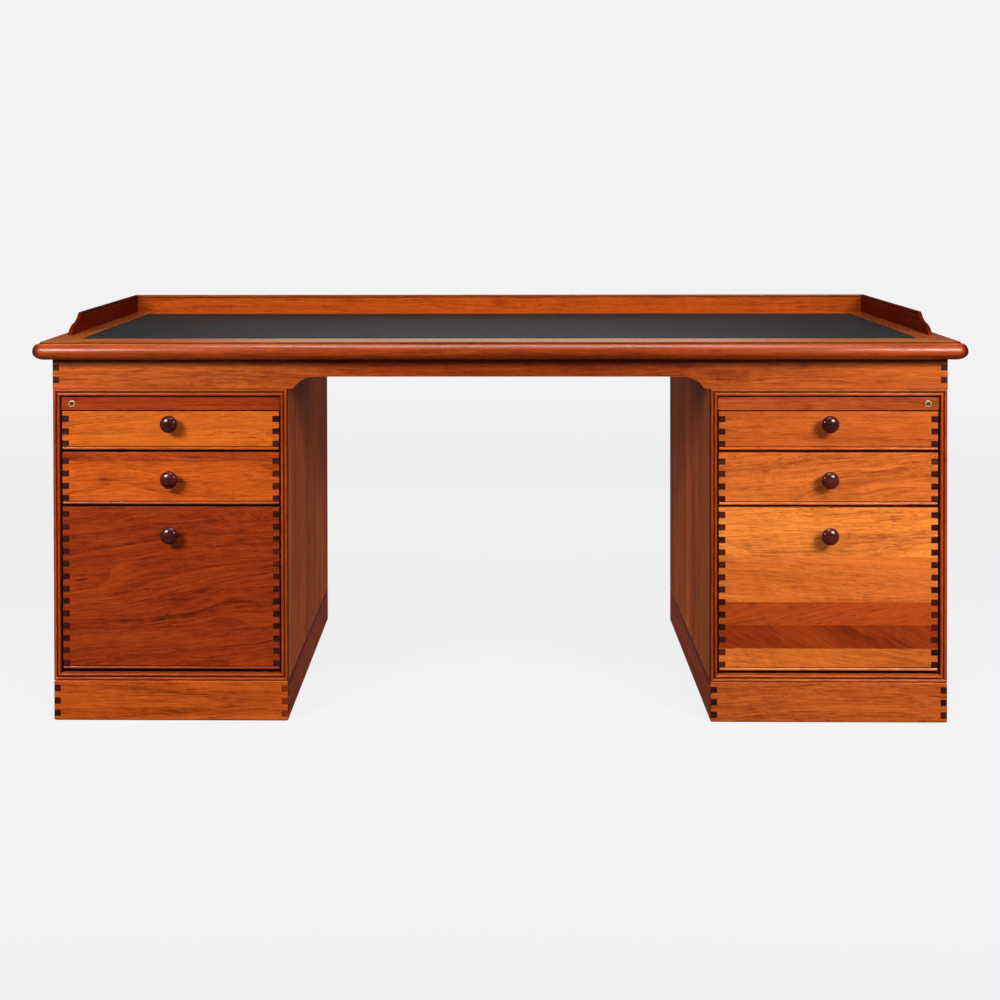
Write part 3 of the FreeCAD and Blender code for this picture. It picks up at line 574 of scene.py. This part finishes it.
def wood(name, tone, grain="X", seed=0.0, tilt=0.0, streaks=55.0, sweep=0.010, contrast=1.0,
         rings=0.05, ripple=0.06, staves=None, mitred=None, glued=None, middle=None, flanks=None,
         upper=None, faint=None, crests=None, seam=None, polish=""):
    """Lacquered hardwood.

    tone names a tone of WoodFinish. grain is the axis that the grain runs along, tilted by tilt degrees.
    streaks is how many streaks a metre holds, sweep how far they wander, and contrast how strong they are.
    rings is how strongly the growth rings show, and ripple the cross figure.
    staves is the height's two limits and a list of (share of the height, tone, tilt) from the bottom up.
    mitred is the centre and half size of a frame whose grain turns at its mitres, and its uprights' tone.
    glued is the axis across a panel's staves, their width and how much their shades differ.
    middle is a tone painted as shade on a long board's middle, and how far from the desk's centre it has gone.
    flanks is a darker tone painted as shade on the faces that look sideways, and upper a tone painted as light
    on those that look up.
    faint is the range of X and of Z in which the sawn ends hardly differ from the faces.
    crests is how far from the middle of the desk, front and back, the reeds' crests lie; painted shade darkens
    the valleys behind them. seam is the band of painted shade that darkens the board.
    polish is "", "top", "side", "dull" or "bare": which roughness and reflection of WoodFinish it takes.
    """
    finish = bpy.context.scene.desk_wood
    graph = MaterialGraph(name)
    place = graph.coordinate()
    base = wood_tone(tone)
    axis = GRAIN_AXES[grain]
    if staves:
        base, seed, along = stacked_boards(graph, place, staves, seed)
    elif mitred:
        centre, half_size, upright_tone = mitred
        bars = group_node(graph, "mitred_grain", {"Vector": place, "Centre": centre, "Half Size": half_size})
        base = graph.mix(bars["Upright"], base, wood_tone(upright_tone))
        along = bars["Vector"]
        axis = bars["Grain Axis"]
    else:
        along = graph.turned(place, Vector(GRAIN_TURNS[grain]) + Vector((0.0, radians(tilt), 0.0)))
    figure = group_node(
        graph, "wood_figure",
        {"Vector": along, "Seed": seed, "Streaks": streaks, "Sweep": sweep, "Rings": rings, "Ripple": ripple})
    ends = group_node(graph, "sawn_ends", {"Vector": along, "Grain Axis": axis, "Place": place, "Seed": seed})
    normal = graph.parts(graph.coordinate("Normal"))
    facing = {"X": normal["X"], "up": graph.spread(normal["Z"], 0.9, 0.99)}
    base = board_tone(graph, place, facing, base, middle, flanks, upper)
    colour = figured(graph, place, base, figure, contrast, glued, seed)
    colour = graph.mix(ends["Mask"], colour, sawn_colour(graph, place, base, ends, faint))
    colour = with_painted_shade(graph, place, facing["up"], colour, crests, seam)
    graph.bump(figure["Relief"], 0.6 if polish == "bare" else 0.35, WOOD_RELIEF)
    prefix = polish and f"{polish}_"
    roughness = graph.times(figure["Tone"], -0.06, getattr(finish, prefix + "gloss") + 0.04)
    roughness = graph.times(figure["Pores"], 0.15, graph.times(ends["Mask"], 0.12, roughness))
    return graph.finish(colour, roughness, getattr(finish, prefix + "specular"))


def knob_wood(name, seed, centre):
    """Dark wood, turned and polished: fine rings round the knob's axis over a straight figure."""
    finish = bpy.context.scene.desk_knobs
    graph = MaterialGraph(name)
    offset = graph.vector("SUBTRACT", graph.coordinate(), centre)
    figure = group_node(
        graph, "wood_figure", {"Vector": offset, "Seed": seed, "Streaks": 190.0, "Sweep": 0.004})
    parts = graph.parts(offset)
    radius = graph.vector("LENGTH", graph.joined(parts["X"], parts["Z"]))
    rings = graph.math("SINE", graph.times(radius, KNOB_RINGS))
    graph.bump(graph.times(rings, 0.06, figure["Relief"]), 0.12, 0.0001)
    colour = graph.mix(graph.spread(figure["Tone"], 0.2, 0.8), linear(finish.streak), linear(finish.tone))
    colour = graph.mix(graph.times(figure["Pores"], 0.6), colour, linear(finish.streak, 0.4))
    return graph.finish(colour, graph.times(figure["Pores"], 0.2, finish.gloss), specular=0.4)


def leather_hide(name):
    """Black hide with a pebbled grain and a soft sheen."""
    finish = bpy.context.scene.desk_leather
    graph = MaterialGraph(name)
    place = graph.coordinate()
    wander = graph.add("ShaderNodeTexNoise", {"Vector": place, "Scale": 300.0}).outputs[1]
    warped = graph.vector("ADD", place, graph.vector("MULTIPLY", wander, (0.0015, 0.0015, 0.0)))
    pebbles = graph.add(
        "ShaderNodeTexVoronoi", {"Vector": warped, "Scale": 1 / finish.pebble}, feature="DISTANCE_TO_EDGE")
    crown = graph.spread(pebbles.outputs[0], 0.02, 0.22)
    cloud = graph.noise(place, (9.0, 12.0, 1.0), 5.0, 0.65)
    fine = graph.noise(place, (2400.0, 2400.0, 2400.0), 2.0)
    graph.bump(graph.times(fine, 0.25, crown), 0.35, HIDE_RELIEF)
    colour = graph.mix(crown, linear(finish.crease), linear(finish.tone))
    colour = graph.mix(graph.spread(cloud, 0.32, 0.68, 0.0, 0.5), colour, linear(finish.tone, 1.45))
    roughness = graph.spread(crown, 0.0, 1.0, finish.gloss + 0.12, finish.gloss - 0.06)
    return graph.finish(colour, graph.times(cloud, 0.12, roughness), specular=0.25)


def brass(name, centre, tone):
    """Polished brass, with tarnish and the lathe's fine rings round that centre and its mirror."""
    finish = bpy.context.scene.desk_metal
    graph = MaterialGraph(name)
    place = graph.coordinate()
    offset = graph.vector("SUBTRACT", graph.vector("ABSOLUTE", place), centre)
    radius = graph.vector("LENGTH", graph.vector("MULTIPLY", offset, (1.0, 0.0, 1.0)))
    graph.bump(graph.math("SINE", graph.times(radius, BRASS_RINGS)), 0.1, 0.00005)
    blotch = graph.spread(graph.noise(place, (260.0, 260.0, 260.0), 3.0), 0.45, 0.7)
    colour = graph.mix(graph.times(blotch, 0.5), linear(tone), linear(finish.tarnish))
    return graph.finish(colour, graph.times(blotch, 0.18, finish.gloss), metallic=0.6)


def plain_steel(name):
    """Zinc-grey steel of the hidden bolts."""
    finish = bpy.context.scene.desk_metal
    graph = MaterialGraph(name)
    spangle = graph.noise(graph.coordinate(), (500.0, 500.0, 120.0), 3.0, 0.6)
    colour = graph.mix(graph.spread(spangle, 0.35, 0.65), linear(finish.steel, 0.75), linear(finish.steel))
    return graph.finish(colour, graph.spread(spangle, 0.3, 0.7, 0.32, 0.5), metallic=1.0)


class DeskOperator:
    """What the desk's operators share."""

    bl_options = {"REGISTER", "UNDO"}

    def execute(self, context):
        self.finish(context.scene)
        return {"FINISHED"}


class DESK_OT_finish_top(DeskOperator, bpy.types.Operator):
    """Finishes the mitred edge boards of the top and the core under the leather"""

    bl_idname = "desk.finish_top"
    bl_label = "Finish the top"

    def finish(self, scene):
        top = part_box("top_front_edge")[1].z
        # Painted shade on the step under the top's upper face
        step = Seam(top - scene.desk_polish.step, top, strength=0.5, fade=0.001)
        # The upper tones are painted light on the edges' upper faces; the flanks' dark tone is painted shade on
        # their sideways ends
        edges = (("front_edge", "X", 3.1, "straw"), ("back_edge", "X", 7.7, "straw"),
                 ("side_edges", "Y", 5.2, "honey"))
        for part, grain, seed, upper in edges:
            board(f"top_{part}", "russet", grain, seed, streaks=70.0, sweep=0.005, upper=upper,
                  flanks="oxblood", seam=step, polish="top")
        board("top_core_panel", "bare", "X", 9.4, glued=("Y", 0.11, 0.16), polish="bare")


class DESK_OT_lay_leather(DeskOperator, bpy.types.Operator):
    """Lays the hide into its recess: a thin sheet with a pressed edge, in the place of its plain solid"""

    bl_idname = "desk.lay_leather"
    bl_label = "Lay the leather"

    def finish(self, scene):
        finish = scene.desk_leather
        low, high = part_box("leather_writing_surface")
        centre = (low + high) / 2
        half_x = (high.x - low.x) / 2 - finish.gap
        half_y = (high.y - low.y) / 2 - finish.gap
        sheet = bmesh.new()
        bmesh.ops.create_grid(sheet, x_segments=2, y_segments=2, size=1.0)
        bmesh.ops.scale(sheet, vec=(half_x, half_y, 1.0), verts=sheet.verts)
        bmesh.ops.dissolve_limit(sheet, angle_limit=radians(1), verts=sheet.verts, edges=sheet.edges)
        field = sheet.faces[:]
        for width in (finish.tuck_width, finish.tuck_width / 2):
            bmesh.ops.inset_region(sheet, faces=field, thickness=width, use_even_offset=True)
        rim = [v for v in sheet.verts if v.is_boundary]
        bmesh.ops.translate(sheet, vec=(0, 0, -finish.tuck), verts=rim)
        bmesh.ops.translate(sheet, vec=(centre.x, centre.y, high.z), verts=sheet.verts)
        bmesh.ops.recalc_face_normals(sheet, faces=sheet.faces)
        piece = new_piece("writing_leather", sheet, leather_hide("black_hide"))
        thickness = piece.modifiers.new("thickness", "SOLIDIFY")
        thickness.thickness = high.z - low.z - finish.tuck
        thickness.offset = -1.0
        edge = piece.modifiers.new("edge", "BEVEL")
        edge.width = finish.gap / 2
        edge.segments = 2
        edge.limit_method = "ANGLE"
        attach(piece, "desk")
        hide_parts("leather_writing_surface")


class DESK_OT_finish_gallery(DeskOperator, bpy.types.Operator):
    """Finishes the three gallery rails"""

    bl_idname = "desk.finish_gallery"
    bl_label = "Finish the gallery"

    def finish(self, scene):
        # polish holds the sizes of the painted shade
        polish = scene.desk_polish
        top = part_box("gallery_back_rail")[1].z
        # Painted shade: a dark line in each rail's quirk
        quirk = Seam(top - polish.quirk_foot, top - polish.quirk_top, strength=0.75, fade=0.0002)
        rails = (("back", "orange", "X", 12.3, 0.006), ("left", "garnet", "Y", 14.1, 0.010),
                 ("right", "garnet", "Y", 16.9, 0.010))
        for part, tone, grain, seed, sweep in rails:
            board(f"gallery_{part}_rail", tone, grain, seed, streaks=80.0, sweep=sweep, seam=quirk,
                  polish="dull")


class DESK_OT_finish_apron(DeskOperator, bpy.types.Operator):
    """Finishes the rail box under the top, its blocks and its bolts"""

    bl_idname = "desk.finish_apron"
    bl_label = "Finish the rail box"

    def finish(self, scene):
        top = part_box("apron_front_rail")[1].z
        # Painted shadow of the top's overhang on the front rail's upper edge
        shadow = Seam(top - scene.desk_polish.shadow, top + BEYOND, strength=0.5, fade=0.012)
        # The russet middle is painted shade, darker towards the desk's centre
        board("apron_front_rail", "copper", "X", 21.3, sweep=0.012, middle=("russet", 0.5), seam=shadow)
        board("apron_back_rail", "orange", "X", 23.9, sweep=0.012)
        board("apron_side_rails", "orange", "Y", 25.6, soft=True)
        board("apron_blocks", "bare", "Z", 27.2, polish="bare")
        paint("fixing_bolts", plain_steel("bolt_steel"))


class DESK_OT_finish_carcasses(DeskOperator, bpy.types.Operator):
    """Finishes the sides, panels, lock rails and runners of both pedestals"""

    bl_idname = "desk.finish_carcasses"
    bl_label = "Finish the pedestals"

    def finish(self, scene):
        for side, seed, rail_tone in (("left", 31.0, "chestnut"), ("right", 41.0, "rust")):
            # The inner sides' lighter tone is painted light, making up for the kneehole's shade
            for part, tone in (("outer", "russet"), ("inner", "copper")):
                seed += 1.3
                board(f"{side}_pedestal_{part}_side", tone, "Z", seed, streaks=28.0, rings=0.10,
                      glued=("Y", 0.118, 0.22), polish="side", soft=True)
            board(f"{side}_pedestal_back_panel", "orange", "Z", seed + 2.1, streaks=38.0,
                  glued=("X", 0.109, 0.16), soft=True)
            board(f"{side}_pedestal_top_panel", "bare", "X", seed + 3.7, glued=("Y", 0.09, 0.16),
                  polish="bare")
            # The dark tone is painted shade where the gap under the bottom drawers shows this panel
            board(f"{side}_pedestal_bottom_panel", "oxblood", "X", seed + 4.9, glued=("Y", 0.09, 0.16),
                  polish="dull")
            board(f"{side}_drawer_runners", "bare", "Y", seed + 4.1, polish="bare")
            board(f"{side}_lock_rail", rail_tone, "X", seed + 5.3, streaks=45.0, soft=True)


class DESK_OT_finish_mouldings(DeskOperator, bpy.types.Operator):
    """Finishes the mitred reeded mouldings, with the grain along each bar"""

    bl_idname = "desk.finish_mouldings"
    bl_label = "Finish the mouldings"

    def finish(self, scene):
        for side, tone, seed in (("left", "russet", 51.7), ("right", "copper", 53.2)):
            node = f"{side}_pedestal_mouldings"
            low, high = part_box(node)
            mitred = ((low + high) / 2, (high - low) / 2, "russet")
            # crests gives painted shade in the valleys between the reeds
            board(node, tone, "X", seed, streaks=120.0, mitred=mitred, crests=high.y)


class DESK_OT_finish_plinths(DeskOperator, bpy.types.Operator):
    """Finishes the finger-jointed plinths; the left one's sawn ends beside the kneehole are pale"""

    bl_idname = "desk.finish_plinths"
    bl_label = "Finish the plinths"

    def finish(self, scene):
        for side, tone, seed in (("left", "orange", 61.5), ("right", "copper", 63.8)):
            board(f"{side}_plinth_front_and_back", tone, "X", seed + 0.9, streaks=60.0, sweep=0.014)
            node = f"{side}_plinth_sides"
            low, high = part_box(node)
            # Painted shadow along the upper edge of the plinth's sides
            line = Seam(high.z - scene.desk_polish.plinth, high.z + BEYOND, strength=0.6, fade=0.001)
            beside_kneehole = (((low.x + high.x) / 2, high.x + 0.01), (low.z - 0.01, high.z + 0.01))
            board(node, "russet", "Y", seed + 1.8, streaks=60.0, seam=line,
                  faint=beside_kneehole if side == "left" else None)


class DESK_OT_finish_drawers(DeskOperator, bpy.types.Operator):
    """Finishes the six drawers, each front from boards of its own tone"""

    bl_idname = "desk.finish_drawers"
    bl_label = "Finish the drawers"

    # What each front's wood differs in; bands are its staves from the bottom up, as wood() takes them
    fronts = {
        "left_top": dict(
            tone="amber", seed=71.2, streaks=42.0, sweep=0.020, contrast=0.8, tilt=3.0, rings=0.07),
        "left_middle": dict(
            tone="orange", seed=73.5, streaks=36.0, sweep=0.034, rings=0.08,
            bands=[(0.0, "orange", 2.0), (0.82, "russet", -3.0)]),
        "left_bottom": dict(tone="chestnut", seed=75.9, streaks=30.0, sweep=0.030, tilt=8.0, rings=0.08),
        "right_top": dict(tone="copper", seed=77.1, streaks=60.0, sweep=0.008, contrast=0.75, rings=0.03),
        "right_middle": dict(
            tone="honey", seed=79.4, streaks=34.0, sweep=0.036, contrast=0.75, tilt=5.0, rings=0.07),
        "right_bottom": dict(
            tone="straw", seed=81.6, streaks=48.0, sweep=0.014, contrast=0.8, ripple=0.08,
            bands=[(0.0, "honey", -8.0), (0.12, "chestnut", -34.0), (0.265, "russet", 14.0),
                   (0.41, "honey", -2.0), (0.69, "straw", 2.0)]),
    }

    def finish(self, scene):
        for name, look in self.fronts.items():
            low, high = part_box(f"{name}_drawer_front")
            settings = {key: value for key, value in look.items() if key != "bands"}
            if "bands" in look:
                settings["staves"] = ((low.z, high.z), look["bands"])
            # Painted shade in the seam at the foot of each drawer front, over its lip
            lip = Seam(low.z - BEYOND, low.z + scene.desk_polish.lip, strength=0.85, fade=0.001)
            board(f"{name}_drawer_front", seam=lip, soft=True, **settings)
            board(f"{name}_drawer_box", "orange", "Y", look["seed"] + 0.6, streaks=46.0, soft=True)
            board(f"{name}_drawer_bottom", look["tone"], "X", look["seed"] + 1.1, glued=("Y", 0.12, 0.16),
                  polish="top")


class DESK_OT_finish_knobs(DeskOperator, bpy.types.Operator):
    """Polishes the six turned knobs"""

    bl_idname = "desk.finish_knobs"
    bl_label = "Finish the knobs"

    def finish(self, scene):
        for number, (side, drawer) in enumerate((s, d) for s in SIDES for d in DRAWERS):
            node = f"{side}_{drawer}_drawer_knob"
            low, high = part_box(node)
            paint(node, knob_wood(f"{side}_{drawer}_knob_wood", 90.0 + number, (low + high) / 2))


class DESK_OT_finish_locks(DeskOperator, bpy.types.Operator):
    """Polishes the brass lock cases and barrels"""

    bl_idname = "desk.finish_locks"
    bl_label = "Finish the locks"

    def finish(self, scene):
        finish = scene.desk_metal
        low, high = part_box("lock_cases")
        centre = Vector((high.x - (high.z - low.z) / 2, 0.0, (low.z + high.z) / 2))
        paint("lock_cases", brass("lock_case_brass", centre, finish.brass))
        for side in SIDES:
            paint(f"{side}_lock_barrel", brass(f"{side}_barrel_brass", centre, finish.barrel))


class DESK_OT_set_stage(DeskOperator, bpy.types.Operator):
    """Sets the floor, the light from all round, the lamps and the camera"""

    bl_idname = "desk.set_stage"
    bl_label = "Set the stage"

    def finish(self, scene):
        stage = scene.desk_stage
        self.lay_floor(stage)
        self.light_room(scene, stage)
        self.hang_lamps(stage)
        self.place_camera(scene, stage)

    @staticmethod
    def shown_rays(graph):
        """1 for what the camera, mirrors and glass see, and 0 for the light that the room gives."""
        path = graph.add("ShaderNodeLightPath").outputs
        seen = graph.math("MAXIMUM", path["Is Camera Ray"], path["Is Glossy Ray"])
        return graph.math("MAXIMUM", seen, path["Is Transmission Ray"])

    def lay_floor(self, stage):
        """Lays a square floor that glows like the backdrop, the more so with its distance from the desk."""
        floor = bmesh.new()
        bmesh.ops.create_grid(floor, x_segments=1, y_segments=1, size=stage.floor_size / 2)
        graph = MaterialGraph("pale_floor")
        camera = graph.add("ShaderNodeLightPath").outputs["Is Camera Ray"]
        bounce = linear(stage.floor, stage.floor_bounce)
        material = graph.finish(graph.mix(camera, bounce, linear(stage.floor)), 0.9, specular=0.0)
        away = graph.vector("LENGTH", graph.coordinate())
        far = graph.spread(away, stage.floor_fade * 0.3, stage.floor_fade, stage.floor_glow, 1.0)
        strength = graph.spread(camera, 0.0, 1.0, stage.dusk, 1.0)
        glow = graph.add("ShaderNodeEmission", {"Color": linear(stage.backdrop), "Strength": strength})
        share = graph.times(far, self.shown_rays(graph))
        mixed = graph.add("ShaderNodeMixShader", {0: share, 1: graph.shader.outputs[0], 2: glow.outputs[0]})
        output = next(node for node in graph.tree.nodes if node.type == "OUTPUT_MATERIAL")
        graph.feed(output.inputs["Surface"], mixed.outputs[0])
        new_piece("studio_floor", floor, material)

    def light_room(self, scene, stage):
        """Lights the desk from all round; its polish mirrors a dusky room with one bright part behind."""
        world = bpy.data.worlds.new("studio")
        scene.world = world
        world.use_nodes = True
        world.node_tree.nodes.clear()
        graph = Graph(world.node_tree)
        room = graph.add("ShaderNodeBackground", {"Color": (1, 1, 1, 1), "Strength": stage.ambient})
        path = graph.add("ShaderNodeLightPath").outputs
        towards = graph.parts(graph.coordinate("Generated"))
        reach = stage.backdrop_reach
        within = graph.times(
            graph.spread(graph.math("ABSOLUTE", towards["X"]), reach * 0.6, reach, 1.0, 0.0),
            graph.spread(towards["Y"], 0.90, 0.97))
        behind = graph.math("MAXIMUM", graph.times(within, stage.backdrop_mirror), stage.dusk)
        strength = graph.math("MAXIMUM", behind, path["Is Camera Ray"])
        seen = graph.add("ShaderNodeBackground", {"Color": linear(stage.backdrop), "Strength": strength})
        mixed = graph.add(
            "ShaderNodeMixShader", {0: self.shown_rays(graph), 1: room.outputs[0], 2: seen.outputs[0]})
        graph.feed(graph.add("ShaderNodeOutputWorld").inputs["Surface"], mixed.outputs[0])

    def hang_lamps(self, stage):
        """Two soft lamps in front, one above, one behind, one at each side, and one for the polish alone."""
        size = (stage.lamp_width, stage.lamp_height)
        long_size = (stage.strip_length, stage.strip_width)
        mirrors = {"left": Vector((-1, 1, 1)), "right": Vector((1, 1, 1))}
        for side in SIDES:
            low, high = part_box(f"{side}_bottom_drawer_front")
            self.hang_lamp(
                f"soft_lamp_{side}", stage.lamp_place * mirrors[side], (low + high) / 2, size,
                stage.lamp_power, stage.lamp_spread)
        low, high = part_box("top_front_edge")
        nose = Vector(((low.x + high.x) / 2, low.y, high.z))
        self.hang_lamp("strip_lamp", stage.strip_place, nose, long_size, stage.strip_power)
        self.hang_lamp(
            "back_lamp", stage.back_place, stage.back_target, (stage.back_width, stage.lamp_height),
            stage.back_power, stage.lamp_spread, glossy=False)
        for side in SIDES:
            place, target = (at * mirrors[side] for at in (stage.side_place, stage.side_target))
            self.hang_lamp(
                f"side_lamp_{side}", place, target, size, stage.side_power, stage.side_spread, glossy=False)
        self.hang_lamp("glint_lamp", stage.glint_place, nose, long_size, stage.glint_power, diffuse=False)

    def hang_lamp(self, name, place, target, size, power, spread=radians(180), diffuse=True, glossy=True):
        """A rectangular lamp at that place, turned to the target, which the camera doesn't see."""
        lamp = bpy.data.lights.new(name, "AREA")
        lamp.shape = "RECTANGLE"
        lamp.energy = power
        lamp.spread = spread
        lamp.size, lamp.size_y = size
        carrier = bpy.data.objects.new(name, lamp)
        carrier.visible_camera = False
        carrier.visible_diffuse = diffuse
        carrier.visible_glossy = glossy
        carrier.location = place
        carrier.rotation_euler = (target - place).to_track_quat("-Z", "Y").to_euler()
        bpy.context.scene.collection.objects.link(carrier)

    def place_camera(self, scene, stage):
        camera = bpy.data.cameras.new("view")
        camera.sensor_width = stage.sensor
        camera.lens = stage.lens
        camera.shift_x = stage.shift_x
        camera.shift_y = stage.shift_y
        carrier = bpy.data.objects.new("view", camera)
        carrier.location = stage.camera_place
        pitch, roll, turn = stage.camera_turn
        carrier.rotation_euler = (radians(90) + pitch, roll, turn)
        scene.collection.objects.link(carrier)
        scene.camera = carrier
        scene.view_settings.view_transform = "Standard"


class DESK_PT_finishes(bpy.types.Panel):
    """Lists the desk's finishes in the sidebar"""

    bl_idname = "DESK_PT_finishes"
    bl_label = "Desk"
    bl_space_type = "VIEW_3D"
    bl_region_type = "UI"
    bl_category = "Desk"

    def draw(self, context):
        for operator in OPERATORS:
            self.layout.operator(operator.bl_idname)
        for name in SETTINGS:
            settings = getattr(context.scene, name)
            box = self.layout.box()
            box.label(text=settings.bl_rna.description)
            for key in settings.__annotations__:
                box.prop(settings, key)


SETTINGS = {
    "desk_wood": WoodFinish,
    "desk_polish": PaintedShade,
    "desk_knobs": KnobFinish,
    "desk_leather": LeatherFinish,
    "desk_metal": MetalFinish,
    "desk_stage": StageSettings,
}
OPERATORS = (
    DESK_OT_set_stage,
    DESK_OT_finish_top,
    DESK_OT_lay_leather,
    DESK_OT_finish_gallery,
    DESK_OT_finish_apron,
    DESK_OT_finish_carcasses,
    DESK_OT_finish_mouldings,
    DESK_OT_finish_plinths,
    DESK_OT_finish_drawers,
    DESK_OT_finish_knobs,
    DESK_OT_finish_locks,
)


def register():
    for name, settings in SETTINGS.items():
        bpy.utils.register_class(settings)
        setattr(bpy.types.Scene, name, bpy.props.PointerProperty(type=settings))
    for operator in OPERATORS:
        bpy.utils.register_class(operator)
    bpy.utils.register_class(DESK_PT_finishes)


def unregister():
    bpy.utils.unregister_class(DESK_PT_finishes)
    for operator in reversed(OPERATORS):
        bpy.utils.unregister_class(operator)
    for name, settings in SETTINGS.items():
        delattr(bpy.types.Scene, name)
        bpy.utils.unregister_class(settings)


def main():
    register()
    for operator in OPERATORS:
        group, name = operator.bl_idname.split(".")
        getattr(getattr(bpy.ops, group), name)()


if __name__ == "__main__":
    main()
